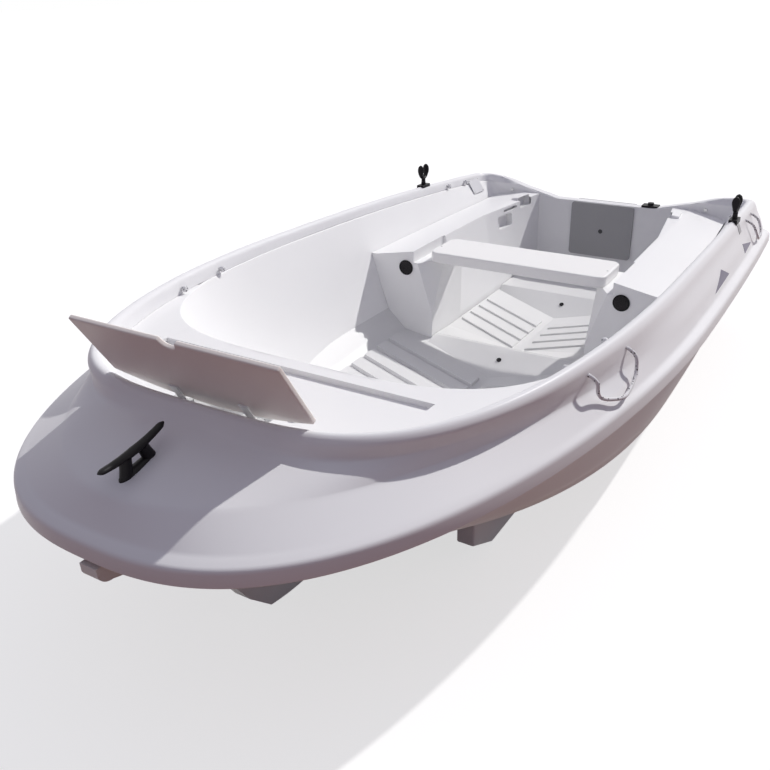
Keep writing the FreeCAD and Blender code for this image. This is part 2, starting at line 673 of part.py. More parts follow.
feature("bow_cleat", cleat_shape)

# Rowlocks: a swivelling yoke each side on a pin that runs in the socket let into the crest
rowlock_x = -930
rowlock_y = rail_side(deck_rails[6], rowlock_x)
rowlock_z = sheer(rowlock_x) + crest_rise
tube_radius = 10
tube_depth = 46
boss_rise = 10
yoke_lines = [(-9, 12), (9, 12), (9, 25), (31, 56, (25, 37)), (29, 84), (16, 85, (22.5, 91)),
              (17, 57), (-17, 57, (0, 40)), (-16, 85), (-29, 84, (-22.5, 91)), (-31, 56), (-9, 25, (-25, 37))]
yoke_body = new_body("yoke_blank")
yoke_sketch = outline(yoke_body, "yoke_outline", "XZ_Plane", yoke_lines)
pad(yoke_body, "yoke_pad", yoke_sketch, yoke_thick, both=True, alias="rowlock_yoke_thickness")
yoke_form = solid_of(yoke_body)
yoke_edges = [e for e in yoke_form.Edges if e.BoundBox.YLength < 0.1 and e.BoundBox.ZMin > 26]
yoke_form = yoke_form.makeChamfer(3, yoke_edges)
for side, word in ((1, "port"), (-1, "starboard")):
    at = Vector(rowlock_x, side * rowlock_y, rowlock_z)
    tube = Part.makeCylinder(tube_radius, tube_depth + boss_rise, at - Vector(0, 0, tube_depth))
    plate = Part.makeBox(62, 30, 16, at + Vector(-31, -15, -11))
    well = Part.makeCylinder(tube_radius, tube_depth + 30, at - Vector(0, 0, tube_depth + 4))
    deck_moulding.Shape = deck_moulding.Shape.cut(well)
    bore = Part.makeCylinder(swivel_pin / 2 + pin_fit, tube_depth + boss_rise + 20,
                             at - Vector(0, 0, tube_depth + 10))
    base = tube.fuse(plate).cut(deck_moulding.Shape)
    feature("rowlock_socket_" + word, largest(base).fuse(tube).cut(bore).removeSplitter())
    pin = Part.makeCylinder(swivel_pin / 2, tube_depth + boss_rise + 4, Vector(0, 0, -tube_depth))
    yoke = yoke_form.fuse(pin).removeSplitter()
    yoke.translate(at)
    feature("rowlock_" + word, yoke)

# Grab ropes: each leaves the coaming by one hole, hangs over the cove and comes back by the next
rope_routes = {
    "forward": [(413, 605.9, 599), (413, 675, 599), (421, 685, 535), (487, 688, 519), (532, 688, 519),
                (598, 646, 536), (606, 650, 600), (606, 580.2, 600)],
    "aft": [(-1247, 597.8, 529), (-1247, 666, 529), (-1239, 695, 465), (-1193, 699, 454), (-1149, 699, 454),
            (-1103, 703, 476), (-1095, 673, 540), (-1095, 604.5, 540)],
}
knots = []


def bend_radius(before, corner, after):
    """Radius of the tangent arc at a corner: 0.45 of the shorter run over tan(half the turn)."""
    first = corner - before
    last = after - corner
    turn = first.getAngle(last)
    return 0.45 * min(first.Length, last.Length) / math.tan(turn / 2)


def cord_wire(points):
    edges = []
    start = points[0]
    for k in range(1, len(points) - 1):
        before, corner, after = points[k - 1:k + 2]
        into = (corner - before).normalize()
        out = (after - corner).normalize()
        turn = into.getAngle(out)
        radius = bend_radius(before, corner, after)
        reach = radius * math.tan(turn / 2)
        first = corner - into * reach
        last = corner + out * reach
        middle = (out - into).normalize()
        centre = corner + middle * (radius / math.cos(turn / 2))
        through = centre - middle * radius
        edges.append(Part.LineSegment(start, first).toShape())
        edges.append(Part.Arc(first, through, last).toShape())
        start = last
    edges.append(Part.LineSegment(start, points[-1]).toShape())
    return Part.Wire(edges)


def tube_along(wire, diameter):
    start = wire.Edges[0].Vertexes[0].Point
    ahead = wire.Edges[0].Vertexes[1].Point - start
    section = Part.Wire([Part.Circle(start, ahead, diameter / 2).toShape()])
    return wire.makePipeShell([section], True, False)


def knot_at(end, side):
    """A stopper knot inboard of a rope's end: a short barrel with chamfered rims."""
    away = Vector(0, -side, 0)
    barrel = Part.makeCylinder(9, 14, end + away * 0.4, away)
    return barrel.makeChamfer(2.5, [e for e in barrel.Edges if e.BoundBox.YLength < 0.1])


for place, route in rope_routes.items():
    for side, word in ((1, "port"), (-1, "starboard")):
        points = [Vector(x, side * y, z) for x, y, z in route]
        for end in (points[0], points[-1]):
            hole = Part.makeCylinder(rope_thick / 2 + 1.5, 90, end - Vector(0, side * 18, 0), Vector(0, side, 0))
            deck_moulding.Shape = deck_moulding.Shape.cut(hole)
            knots.append(knot_at(end, side))
        radii = [round(bend_radius(*points[k - 1:k + 2]), 1) for k in range(1, len(points) - 1)]
        wire = cord_wire(points)
        rope = tube_along(wire, rope_thick)
        print("rope", place, word, "radii", radii, "length", round(wire.Length))
        feature("grab_rope_%s_%s" % (place, word), rope)
feature("rope_knots", Part.makeCompound(knots))

# Round mesh-faced plugs in the bench fronts, and drain plugs in the risers
plug_y = 412
plug_z = 399
plugs = [Part.makeCylinder(plug_wide / 2, 4, Vector(bench_front_x, side * plug_y, plug_z), Vector(1, 0, 0))
         for side in (1, -1)]
feature("bench_plugs", Part.makeCompound(plugs))
drains = []
for foot_x, top_x, top_z, riser in ((-258, ridge_x, ridge_z, riser_forward),
                                    (aft_end - 3, platform_x, platform_z, riser_aft)):
    foot = Vector(foot_x, 0, sole_low)
    slope = Vector(top_x, 0, top_z) - foot
    normal = Vector(slope.z, 0, -slope.x).normalize()
    drain = Part.makeCylinder(9, 7, foot + slope * 0.6 - normal * 3, normal)
    drains.append(max(drain.cut(riser.Shape).Solids, key=lambda s: s.CenterOfMass.x + s.CenterOfMass.z))
feature("drain_plugs", Part.makeCompound(drains))

# Write every node
doc.recompute()
nodes = [o for o in doc.Objects if o.TypeId == "Part::Feature"]
for item in doc.Objects:
    if "Invalid" in item.State or "Error" in item.State:
        raise RuntimeError("bad state: %s %s" % (item.Label, item.State))
for item in nodes:
    if item.Shape.isNull() or not item.Shape.isValid():
        raise RuntimeError("bad shape: %s" % item.Label)
    item.Shape.exportStep("parts/%s.step" % item.Label)
print(len(nodes), "nodes written")
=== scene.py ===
import bpy
import bmesh
import math
from mathutils import Vector, Matrix
from mathutils.bvhtree import BVHTree


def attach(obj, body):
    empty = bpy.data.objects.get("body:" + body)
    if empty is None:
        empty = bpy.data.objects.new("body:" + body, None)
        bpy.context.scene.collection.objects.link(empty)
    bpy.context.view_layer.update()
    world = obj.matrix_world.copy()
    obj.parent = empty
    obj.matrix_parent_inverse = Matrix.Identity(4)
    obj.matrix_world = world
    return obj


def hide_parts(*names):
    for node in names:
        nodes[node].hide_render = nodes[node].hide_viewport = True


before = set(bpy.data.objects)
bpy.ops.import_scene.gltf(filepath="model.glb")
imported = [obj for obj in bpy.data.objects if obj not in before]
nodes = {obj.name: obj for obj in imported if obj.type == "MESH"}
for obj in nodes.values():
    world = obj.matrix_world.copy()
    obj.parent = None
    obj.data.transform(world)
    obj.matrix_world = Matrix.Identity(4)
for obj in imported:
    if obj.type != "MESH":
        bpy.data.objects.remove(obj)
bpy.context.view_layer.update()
scene = bpy.context.scene

# Hull: the boat's smooth rounded bottom, stern wall and blunt bow, one thin white shell laid up in a
# mould. Here it is a stack of plan outlines, with each crease between them eased over a long way.
# Every length in this script is in metres.
hull_white = (0.8, 0.8, 0.81)
hull_wall = 0.005
hull_corner = 0.03
stern_x = -1.49
widest_x = -0.1
flange_x = 1.5
flange_half = 0.745
sheer_x = 0.6
sheer_height = 0.455
sheer_fall = 0.083
sheer_run = 2
rise_x = 0.1
rise_power = 2.4
bottom_half = 0.6
wall_inward = 0.6
bottom_upward = 0.8
side_upward = 0.2
aft_steps = 18
bow_steps = 96
bow_gather = 3.7
stern_steps = 60
corner_steps = 5
crease_steps = 4
crease_share = 0.48


def sheer(x):
    """Height of the flange's lower edge: level forward, then falling towards the stern."""
    return sheer_height - sheer_fall * (max(0.0, sheer_x - x) / sheer_run) ** 2


def lift(amount, bow_amount=None):
    """A height rule: an amount above the flange's lower edge, which may pass to another at the bow."""
    ahead = amount if bow_amount is None else bow_amount
    return lambda x, y: sheer(x) + amount + (ahead - amount) * min(1.0, max(0.0, x / sheer_x))


def rise(middle, bow, apex):
    """A height rule: level aft and amidships, then sweeping up to the bow."""
    return lambda x, y: middle + (bow - middle) * max(0.0, (x - rise_x) / (apex - rise_x)) ** rise_power


def bent(first, corner, last, steps):
    """Points of a smooth bend from first to last, drawn towards the corner."""
    shares = [k / steps for k in range(steps + 1)]
    return [first * (1 - t) ** 2 + corner * 2 * t * (1 - t) + last * t * t for t in shares]


def rail(apex, half, stern_half, bow_power, side_power, height, end_x=stern_x, corner=0.014):
    """A closed outline: across the stern, round the port quarter, forward, round the bow and back."""
    side = []
    for k in range(aft_steps):
        x = end_x + (widest_x - end_x) * k / aft_steps
        side.append(Vector((x, half - (half - stern_half) * ((widest_x - x) / (widest_x - end_x)) ** 2)))
    for k in range(bow_steps + 1):
        share = 1 - (1 - k / bow_steps) ** bow_gather
        x = widest_x + (apex - widest_x) * share
        side.append(Vector((x, half * (1 - share ** bow_power) ** (1 / side_power))))
    turn = min(corner, side[0].y * 0.5)
    start = side[0] - Vector((0, turn))
    end = side[0] + (side[1] - side[0]).normalized() * turn
    port = bent(start, side[0], end, corner_steps) + side[1:]
    stern = [Vector((end_x, start.y * (2 * k / stern_steps - 1))) for k in range(1, stern_steps)]
    loop = stern + port + [Vector((p.x, -p.y)) for p in port[-2::-1]]
    return [Vector((p.x, p.y, height(p.x, p.y))) for p in loop]


def placed(name, data):
    """An object of the scene that shows this mesh, curve, light or camera."""
    made = bpy.data.objects.new(name, data)
    scene.collection.objects.link(made)
    return made


def turn_out(mesh, join=0.0):
    """Merge a closed mesh's doubles where asked, and point its faces outwards."""
    work = bmesh.new()
    work.from_mesh(mesh)
    if join:
        bmesh.ops.remove_doubles(work, verts=work.verts, dist=join)
    bmesh.ops.recalc_face_normals(work, faces=work.faces)
    work.to_mesh(mesh)
    work.free()


def skin(name, corners, faces, finish, sharp, join=0.0):
    """A closed piece that is shaded smooth but for edges that bend more than sharp, in degrees."""
    mesh = bpy.data.meshes.new(name)
    mesh.from_pydata(corners, [], faces)
    turn_out(mesh, join)
    mesh.polygons.foreach_set("use_smooth", [True] * len(mesh.polygons))
    mesh.set_sharp_from_angle(angle=math.radians(sharp))
    mesh.materials.append(finish)
    return placed(name, mesh)


def swept(name, rails, easing, finish):
    """A closed skin over closed outlines, with each crease eased over its own distance."""
    rows = []
    for k, here in enumerate(rails):
        if not easing[k]:
            rows.append(here)
            continue
        before = rails[k - 1]
        after = rails[(k + 1) % len(rails)]
        cuts = []
        for p, b, a in zip(here, before, after):
            back = b - p
            ahead = a - p
            first = p + back * min(crease_share, easing[k] / max(back.length, 1e-6))
            last = p + ahead * min(crease_share, easing[k] / max(ahead.length, 1e-6))
            cuts.append(bent(first, p, last, crease_steps))
        rows += [[cut[n] for cut in cuts] for n in range(crease_steps + 1)]
    wide = len(rows[0])
    faces = []
    for i in range(len(rows)):
        low = i * wide
        high = (i + 1) % len(rows) * wide
        for j in range(wide):
            beside = (j + 1) % wide
            faces.append((low + j, low + beside, high + beside, high + j))
    return skin(name, [p for row in rows for p in row], faces, finish, 35, join=0.00001)


def gelcoat(name, colour, rough, spec=0.5, wear=0.02, grain=0.0, scale=3.0, metal=0.0):
    """A moulded surface whose tone and polish drift a little, with a fine grain."""
    made = bpy.data.materials.new(name)
    made.use_nodes = True
    tree = made.node_tree
    shader = tree.nodes["Principled BSDF"]
    place = tree.nodes.new("ShaderNodeTexCoord")
    cloud = tree.nodes.new("ShaderNodeTexNoise")
    cloud.inputs["Scale"].default_value = scale
    cloud.inputs["Detail"].default_value = 5
    tree.links.new(place.outputs["Object"], cloud.inputs["Vector"])
    # On a colour Mix node, input 0 is the factor, 6 and 7 are the colours and output 2 is the result
    tone = tree.nodes.new("ShaderNodeMix")
    tone.data_type = "RGBA"
    tone.inputs[6].default_value = (*[c * (1 - wear) for c in colour], 1)
    tone.inputs[7].default_value = (*[min(1, c * (1 + wear)) for c in colour], 1)
    tree.links.new(cloud.outputs["Fac"], tone.inputs[0])
    tree.links.new(tone.outputs[2], shader.inputs["Base Color"])
    polish = tree.nodes.new("ShaderNodeMapRange")
    polish.inputs["To Min"].default_value = rough * 0.85
    polish.inputs["To Max"].default_value = rough * 1.15
    tree.links.new(cloud.outputs["Fac"], polish.inputs["Value"])
    tree.links.new(polish.outputs["Result"], shader.inputs["Roughness"])
    shader.inputs["Specular IOR Level"].default_value = spec
    shader.inputs["Metallic"].default_value = metal
    fine = tree.nodes.new("ShaderNodeTexNoise")
    fine.inputs["Scale"].default_value = 420
    fine.inputs["Detail"].default_value = 2
    tree.links.new(place.outputs["Object"], fine.inputs["Vector"])
    bump = tree.nodes.new("ShaderNodeBump")
    bump.inputs["Strength"].default_value = max(grain, 0.02)
    bump.inputs["Distance"].default_value = 0.0006
    tree.links.new(fine.outputs["Fac"], bump.inputs["Height"])
    tree.links.new(bump.outputs["Normal"], shader.inputs["Normal"])
    return made


# Each row: x of the bow, half width, half width at the stern, powers of the bow and of the side,
# height amidships and height at the bow
hull_rails = [
    (0.988, 0.02, 0.02, 2.0, 2.0, 0.04, 0.044),
    (1.082, 0.301, 0.271, 2.0, 1.55, 0.08, 0.114),
    (1.108, 0.473, 0.433, 1.85, 1.5, 0.122, 0.184),
    (1.187, 0.573, 0.533, 1.89, 1.47, 0.172, 0.252),
    (1.253, 0.66, 0.618, 2.22, 1.45, 0.223, 0.337),
    (1.416, 0.698, 0.656, 2.11, 1.6, 0.349, 0.396)]


def hull_rail(row, inset):
    """An outline of the outer skin, or of the inner skin where inset is the wall's thickness: that one
    moves inward, and upward more under the bottom than at the sides."""
    apex, half, stern_half, bow_power, side_power, middle, bow = row
    inward = inset * wall_inward
    upward = inset * (bottom_upward if half < bottom_half else side_upward)
    return rail(apex - inset, max(half - inward, 0.001), stern_half - inward, bow_power, side_power,
                rise(middle + upward, bow + inward, apex), stern_x + inset, corner=hull_corner)


hull_outlines = [hull_rail(row, 0) for row in hull_rails]
hull_outlines += [
    rail(flange_x - 0.026, flange_half - 0.026, 0.676, 1.95, 2.5, lift(-0.005), corner=hull_corner),
    rail(flange_x - 0.006, flange_half - 0.005, 0.696, 1.95, 2.6, lift(-0.005)),
    rail(flange_x - 0.006, flange_half - 0.005, 0.696, 1.95, 2.6, lift(0)),
    rail(flange_x - 0.032, flange_half - 0.032, 0.67, 1.95, 2.5, lift(0), stern_x + hull_wall)]
hull_outlines += [hull_rail(row, hull_wall) for row in hull_rails[::-1]]
hull_easing = [0, 0.08, 0.06, 0.06, 0.06, 0.05, 0.012, 0.002, 0.002] + [0] * 7
white_hull = gelcoat("white_hull", hull_white, 0.4, spec=0.05)
hull = swept("hull_skin", hull_outlines, hull_easing, white_hull)
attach(hull, "boat")
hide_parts("hull_shell")

# Deck moulding: flange, cove, coaming and rounded crest, one white moulding closed round the hull's rim.
# Aft it dips to the low transom top between the two raised quarters.
deck_white = (0.82, 0.82, 0.83)
crest_rise = 0.168
lip_rise = 0.13
ridge_x = 0.9
ridge_run = 0.2
ridge_half = 0.19
transom_height = 0.449
transom_half = 0.2
transom_face_x = -1.442
quarter_rise = 0.078
quarter_run = 0.36
ahead_slope = 0.9
skin_clear = 0.0006
deck_wall = 0.006
flange_corner = 0.03
coaming_corner = 0.045
flange_rows = 2
outer_rows = 9


def crown(amount, bow_amount, ridge):
    """A height rule: as lift, with a low ridge on the middle line of the bow."""
    plain = lift(amount, bow_amount)
    return lambda x, y: (plain(x, y) + ridge * min(1.0, max(0.0, (x - ridge_x) / ridge_run))
                         * math.exp(-(y / ridge_half) ** 2))


def dip(x, y):
    """Height of the transom top: level for the motor, then a soft rise to each quarter."""
    share = min(1.0, max(0.0, (abs(y) - transom_half) / quarter_run))
    return (transom_height + quarter_rise * share * share * (3 - 2 * share)
            + max(0.0, x - transom_face_x) * ahead_slope)


def under_dip(height, drop):
    """A height rule held this far below the transom top, or above it where drop is negative."""
    return lambda x, y: min(height(x, y), dip(x, y) - drop)


# Each row: x of the bow, half width, half width at the stern, powers of the bow and of the side,
# height rule and x of the stern; the outer skin first, then back down the inner one
deck_rails = [
    (flange_x, flange_half, 0.7, 1.95, 2.6, lift(0), stern_x),
    (flange_x - 0.002, flange_half - 0.002, 0.698, 1.95, 2.6, lift(0.036), stern_x),
    (1.472, 0.717, 0.672, 2.2, 2.45, lift(0.048), stern_x + 0.001),
    (1.425, 0.702, 0.657, 2.0, 2.0, crown(0.088, 0.092, 0.008), stern_x + 0.002),
    (1.222, 0.678, 0.636, 2.42, 2.97, crown(0.126, 0.124, 0.024), stern_x + 0.003),
    (1.198, 0.668, 0.627, 2.5, 3.6, crown(0.152, 0.158, 0.005), stern_x + 0.004),
    (1.182, 0.652, 0.612, 2.5, 3.7, lift(crest_rise, crest_rise + 0.008), stern_x + 0.016),
    (1.16, 0.634, 0.594, 2.5, 3.7, lift(crest_rise - 0.008, crest_rise), stern_x + 0.036),
    (1.15, 0.627, 0.587, 2.5, 3.7, lift(lip_rise), stern_x + 0.05),
    (1.155, 0.632, 0.592, 2.5, 3.7, lift(lip_rise), stern_x + 0.045),
    (1.165, 0.639, 0.599, 2.5, 3.7, lift(0.154, 0.162), stern_x + 0.034),
    (1.18, 0.65, 0.61, 2.5, 3.7, lift(0.16, 0.168), stern_x + 0.018),
    (1.192, 0.662, 0.621, 2.5, 3.6, crown(0.146, 0.152, 0.004), stern_x + 0.01),
    (1.216, 0.672, 0.63, 2.42, 2.97, crown(0.119, 0.117, 0.024), stern_x + 0.008),
    (1.42, 0.697, 0.652, 2.0, 2.0, crown(0.083, 0.087, 0.008), stern_x + 0.007),
    (1.467, 0.712, 0.667, 2.2, 2.45, lift(0.043), stern_x + 0.006),
    (1.493, 0.738, 0.693, 1.95, 2.6, lift(0.031), stern_x + 0.005),
    (1.495, 0.74, 0.695, 1.95, 2.6, lift(0), stern_x + 0.005)]
deck_easing = [0.002, 0.009, 0.006, 0.012, 0.014, 0.011, 0.011, 0.012, 0.002] + [0] * 9
deck_outlines = []
for k, (apex, half, stern_half, bow_power, side_power, height, end_x) in enumerate(deck_rails):
    drop = -skin_clear if k < outer_rows else deck_wall
    deck_outlines.append(rail(apex, half, stern_half, bow_power, side_power, under_dip(height, drop), end_x,
                              corner=flange_corner if k < flange_rows else coaming_corner))
white_deck = gelcoat("white_deck", deck_white, 0.36, spec=0.12, grain=0.04)
deck = swept("deck_sweep", deck_outlines, deck_easing, white_deck)
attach(deck, "boat")
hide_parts("deck_moulding")

# Cockpit liner: the white walls of the well, one moulding that hangs inside the coaming's lip.
# It is raked in front and turns softly down to the sole.
liner_white = (0.87, 0.87, 0.87)
liner_wall = 0.007
liner_stern_x = stern_x + 0.045
liner_corner = 0.05
sole_height = 0.084
sole_slope = 0.155
bilge_half = 0.42
bilge_slope = 0.95


def floor_height(x, y):
    """Height of the liner's foot: the sole's shallow slope, then steep in the bilge."""
    out = abs(y)
    return sole_height + sole_slope * min(out, bilge_half) + bilge_slope * max(0.0, out - bilge_half)


liner_rows = [(0.836, 0.627, 0.587, 4.2, 3.6, lift(lip_rise)),
              (0.805, 0.575, 0.535, 3.9, 3.2, lambda x, y: 0.44),
              (0.763, 0.534, 0.494, 3.35, 2.78, lambda x, y: 0.308),
              (0.69, 0.505, 0.465, 2.4, 2.2, floor_height)]
liner_outlines = []
for inset, rows in ((liner_wall, liner_rows), (0, liner_rows[::-1])):
    for apex, half, stern_half, bow_power, side_power, height in rows:
        liner_outlines.append(rail(apex - inset, half - inset, stern_half - inset, bow_power, side_power,
                                   under_dip(height, skin_clear), liner_stern_x + inset,
                                   corner=liner_corner))
liner_easing = [0.003, 0.05, 0.05, 0, 0, 0, 0, 0]
white_liner = gelcoat("white_liner", liner_white, 0.42, spec=0.15, grain=0.1)
liner = swept("liner_walls", liner_outlines, liner_easing, white_liner)
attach(liner, "boat")
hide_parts("cockpit_liner")

# Side benches: hollow white mouldings along both sides of the well, with a ledge for the thwart.
# Each has three hand pockets sunk in its inner face, near the top edge.
join_gap = 0.00002
pocket_wall = 0.003
pocket_lip = 0.0045
cut_past = 0.03


def new_tree(name, sizes):
    """A geometry tree with geometry in and out and these named inputs, and each input's identifier."""
    tree = bpy.data.node_groups.new(name, "GeometryNodeTree")
    tree.interface.new_socket("Geometry", in_out="INPUT", socket_type="NodeSocketGeometry")
    sockets = {}
    for label, size in sizes.items():
        socket = tree.interface.new_socket(label, in_out="INPUT", socket_type="NodeSocketFloat")
        socket.default_value = size
        sockets[label] = socket.identifier
    tree.interface.new_socket("Geometry", in_out="OUTPUT", socket_type="NodeSocketGeometry")
    return tree, sockets


def smooth_tree():
    """Geometry nodes that shade every face smooth and keep edges hard above a stated angle."""
    tree = new_tree("smooth_by_angle", {"Angle": 0.7})[0]
    start = tree.nodes.new("NodeGroupInput")
    finish = tree.nodes.new("NodeGroupOutput")
    soft = tree.nodes.new("GeometryNodeSetShadeSmooth")
    soft.domain = "FACE"
    hard = tree.nodes.new("GeometryNodeSetShadeSmooth")
    hard.domain = "EDGE"
    hard.inputs["Shade Smooth"].default_value = False
    bend = tree.nodes.new("GeometryNodeInputMeshEdgeAngle")
    over = tree.nodes.new("FunctionNodeCompare")
    over.operation = "GREATER_THAN"
    tree.links.new(start.outputs["Geometry"], soft.inputs["Geometry"])
    tree.links.new(bend.outputs["Unsigned Angle"], over.inputs[0])
    tree.links.new(start.outputs["Angle"], over.inputs[1])
    tree.links.new(soft.outputs["Geometry"], hard.inputs["Geometry"])
    tree.links.new(over.outputs["Result"], hard.inputs["Selection"])
    tree.links.new(hard.outputs["Geometry"], finish.inputs["Geometry"])
    return tree


smoothing = smooth_tree()


def ease_edges(piece, width=0.0, steps=3, join=join_gap):
    """Join the flat faces of a piece, round its edges and shade it."""
    weld = piece.modifiers.new("weld", "WELD")
    weld.merge_threshold = join
    if width:
        flat = piece.modifiers.new("flat", "DECIMATE")
        flat.decimate_type = "DISSOLVE"
        flat.angle_limit = math.radians(1)
        edge = piece.modifiers.new("edge", "BEVEL")
        edge.width = width
        edge.segments = steps
        edge.limit_method = "ANGLE"
        edge.angle_limit = math.radians(26)
        edge.miter_outer = "MITER_ARC"
    smooth = piece.modifiers.new("smooth", "NODES")
    smooth.node_group = smoothing
    normals = piece.modifiers.new("normals", "WEIGHTED_NORMAL")
    normals.keep_sharp = True


def upright(points, low, high, name):
    """A closed block over an outline in the ground plane."""
    mesh = bpy.data.meshes.new(name)
    wide = len(points)
    corners = [(x, y, low) for x, y in points] + [(x, y, high) for x, y in points]
    faces = [list(range(wide))[::-1], list(range(wide, 2 * wide))]
    faces += [(k, (k + 1) % wide, wide + (k + 1) % wide, wide + k) for k in range(wide)]
    mesh.from_pydata(corners, [], faces)
    return placed(name, mesh)


def rounded(width, height, radius):
    """Corners of a rectangle with round corners, about the origin."""
    arc_steps = 4
    points = []
    for k, (sx, sy) in enumerate(((1, 1), (-1, 1), (-1, -1), (1, -1))):
        for n in range(arc_steps + 1):
            turn = math.pi / 2 * (k + n / arc_steps)
            points.append((sx * (width / 2 - radius) + radius * math.cos(turn),
                           sy * (height / 2 - radius) + radius * math.sin(turn)))
    return points


def merged_copy(name, made_name):
    """A merged copy of a CAD node's own mesh, to be carved."""
    mesh = nodes[name].data.copy()
    mesh.name = made_name
    work = bmesh.new()
    work.from_mesh(mesh)
    bmesh.ops.remove_doubles(work, verts=work.verts, dist=join_gap)
    bmesh.ops.dissolve_limit(work, angle_limit=math.radians(0.6), verts=work.verts, edges=work.edges)
    work.to_mesh(mesh)
    work.free()
    return placed(made_name, mesh)


def keep_result(piece):
    """Give a piece the plain mesh that its modifiers make, and remove them."""
    bpy.context.view_layer.update()
    graph = bpy.context.evaluated_depsgraph_get()
    result = bpy.data.meshes.new_from_object(piece.evaluated_get(graph))
    piece.modifiers.clear()
    piece.data = result


def carve(body, tool, operation):
    """Join or cut one piece with another and keep the plain result."""
    step = body.modifiers.new("carve", "BOOLEAN")
    step.object = tool
    step.operation = operation
    step.solver = "EXACT"
    keep_result(body)
    bpy.data.objects.remove(tool)


# Each pocket: its place on the port bench, width, height, radius of its corners and depth
pockets = [((-1.131, 0.337, 0.406), 0.116, 0.056, 0.012, 0.03),
           ((-1.182, 0.337, 0.449), 0.11, 0.012, 0.005, 0.02),
           ((-1.315, 0.326, 0.454), 0.1, 0.044, 0.009, 0.034)]
for side, word in ((1, "port"), (-1, "starboard")):
    bench = merged_copy("side_bench_" + word, "bench_" + word)
    inward = Vector((0.12, -0.98 * side, 0.15)).normalized()
    along = inward.cross(Vector((0, 0, 1))).normalized()
    above = along.cross(inward).normalized()
    for (x, y, z), width, height, radius, deep in pockets:
        place = Matrix(((along.x, above.x, inward.x, x), (along.y, above.y, inward.y, side * y),
                        (along.z, above.z, inward.z, z), (0, 0, 0, 1)))
        if place.determinant() < 0:
            place = place @ Matrix.Diagonal((-1, 1, 1, 1))
        outside = rounded(width + 2 * pocket_wall, height + 2 * pocket_wall, radius + pocket_wall)
        cup = upright(outside, -deep - pocket_wall, -pocket_lip, "cup")
        cup.data.transform(place)
        hollow = upright(rounded(width, height, radius), -deep, cut_past, "hollow")
        hollow.data.transform(place)
        carve(bench, cup, "UNION")
        carve(bench, hollow, "DIFFERENCE")
    bench.data.materials.clear()
    bench.data.materials.append(white_liner)
    ease_edges(bench, 0.0015)
    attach(bench, "boat")
    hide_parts("side_bench_" + word)


# Sole, floors, risers, platform, bow deck and locker tub: flat-faced white mouldings in the liner.
# Each keeps its CAD form, and its edges are eased as a mould leaves them.
def eased(name, finish, width=0.0, steps=3, join=join_gap):
    """A CAD node keeps its form and gets its finish and its eased edges."""
    nodes[name].data.materials.clear()
    nodes[name].data.materials.append(finish)
    ease_edges(nodes[name], width, steps, join)


white_floor = gelcoat("white_floor", (0.7, 0.7, 0.7), 0.45, grain=0.16, wear=0.03)
eased("cockpit_sole", white_floor)
for name in ("aft_floor", "floor_riser_forward", "floor_riser_aft"):
    eased(name, white_floor, 0.0012, 2)
eased("stern_platform", white_floor, 0.0015)
# The bow deck is cut along the deck moulding, and joining over 1.1 mm closes the slivers of that cut
eased("bow_deck", white_liner, 0.0025, join=0.0011)
eased("bow_locker_tub", white_liner, 0.0015)

# Keel, stem and bilge runners: the white strips under the hull that touch the ground.
# They are moulded with it, and scuffed along their feet.
white_keel = gelcoat("white_keel", (0.72, 0.71, 0.7), 0.5, wear=0.08, grain=0.2, scale=18)
eased("keel", white_keel, 0.005)
eased("bilge_runners", white_keel, 0.005)

# Transom core: the board between the stern walls of hull, deck moulding and liner.
# It is closed in on both faces and carries the motor pads and the bolts.
eased("transom_core", white_deck)

# Thwart: the rower's seat, a loose white board that rests in the ledges of both benches.
# All its edges are well rounded.
white_board = gelcoat("white_board", (0.88, 0.875, 0.865), 0.35, grain=0.06)
eased("thwart", white_board, 0.006, 4)

# Bow locker lid: a flat white board, which stands open on two hinges at its front edge.
# That edge is bowed, with a flat for each hinge, and the aft edge has a notch for a finger.
hinge_place = Vector((1.119, 0, 0.591))
lid_angle = 121.6
lid_aft_x = 0.891
lid_half = 0.27
lid_low = 0.577
lid_high = 0.589
front_x = 1.068
front_bow = 0.0465
front_steps = 32
flat_x = 1.1085
flat_near = 0.066
flat_far = 0.124
finger_deep = 0.021
finger_half = 0.022
finger_turns = (1.1, 0.7, 0.35, 0, -0.35, -0.7, -1.1)
lid_lines = [(lid_aft_x, -lid_half)]
for k in range(front_steps + 1):
    y = -lid_half + 2 * lid_half * k / front_steps
    front = front_x + front_bow * (1 - (y / lid_half) ** 2)
    lid_lines.append((min(front, flat_x) if flat_near < abs(y) < flat_far else front, y))
lid_lines += [(lid_aft_x, lid_half), (lid_aft_x, finger_half)]
lid_lines += [(lid_aft_x + finger_deep * math.cos(t), finger_half * math.sin(t)) for t in finger_turns]
lid_lines += [(lid_aft_x, -finger_half)]
lid = upright(lid_lines, lid_low, lid_high, "locker_lid")
opening = Matrix.Translation(hinge_place) @ Matrix.Rotation(math.radians(lid_angle), 4, "Y")
lid.data.transform(opening @ Matrix.Translation(-hinge_place))
turn_out(lid.data)
# The board's white is tinted warm: painted warm bounce light, standing in for the light that the deck
# throws on its shaded face.
lid.data.materials.append(gelcoat("lid_board_painted_bounce", (0.86, 0.81, 0.765), 0.4, spec=0.25, grain=0.06))
ease_edges(lid, 0.0035, 4)
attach(lid, "lid")
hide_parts("bow_locker_lid")

# Lid hinges and bolts: white leaves under the lid on steel posts, a steel bolt through each quarter,
# and the motor pads' darker bolt, whose heads are sunk in them.
eased("lid_hinge_leaves", white_board, 0.001, 2)
steel = gelcoat("steel", (0.55, 0.55, 0.56), 0.3, wear=0.08, scale=40, metal=1.0)
eased("lid_hinge_posts", steel, 0.001, 2)
eased("transom_bolts", steel, 0.0008, 2)
dark_steel = gelcoat("dark_steel", (0.05, 0.05, 0.055), 0.45, wear=0.2, scale=40, metal=0.6)
eased("pad_bolt", dark_steel, 0.0008, 2)

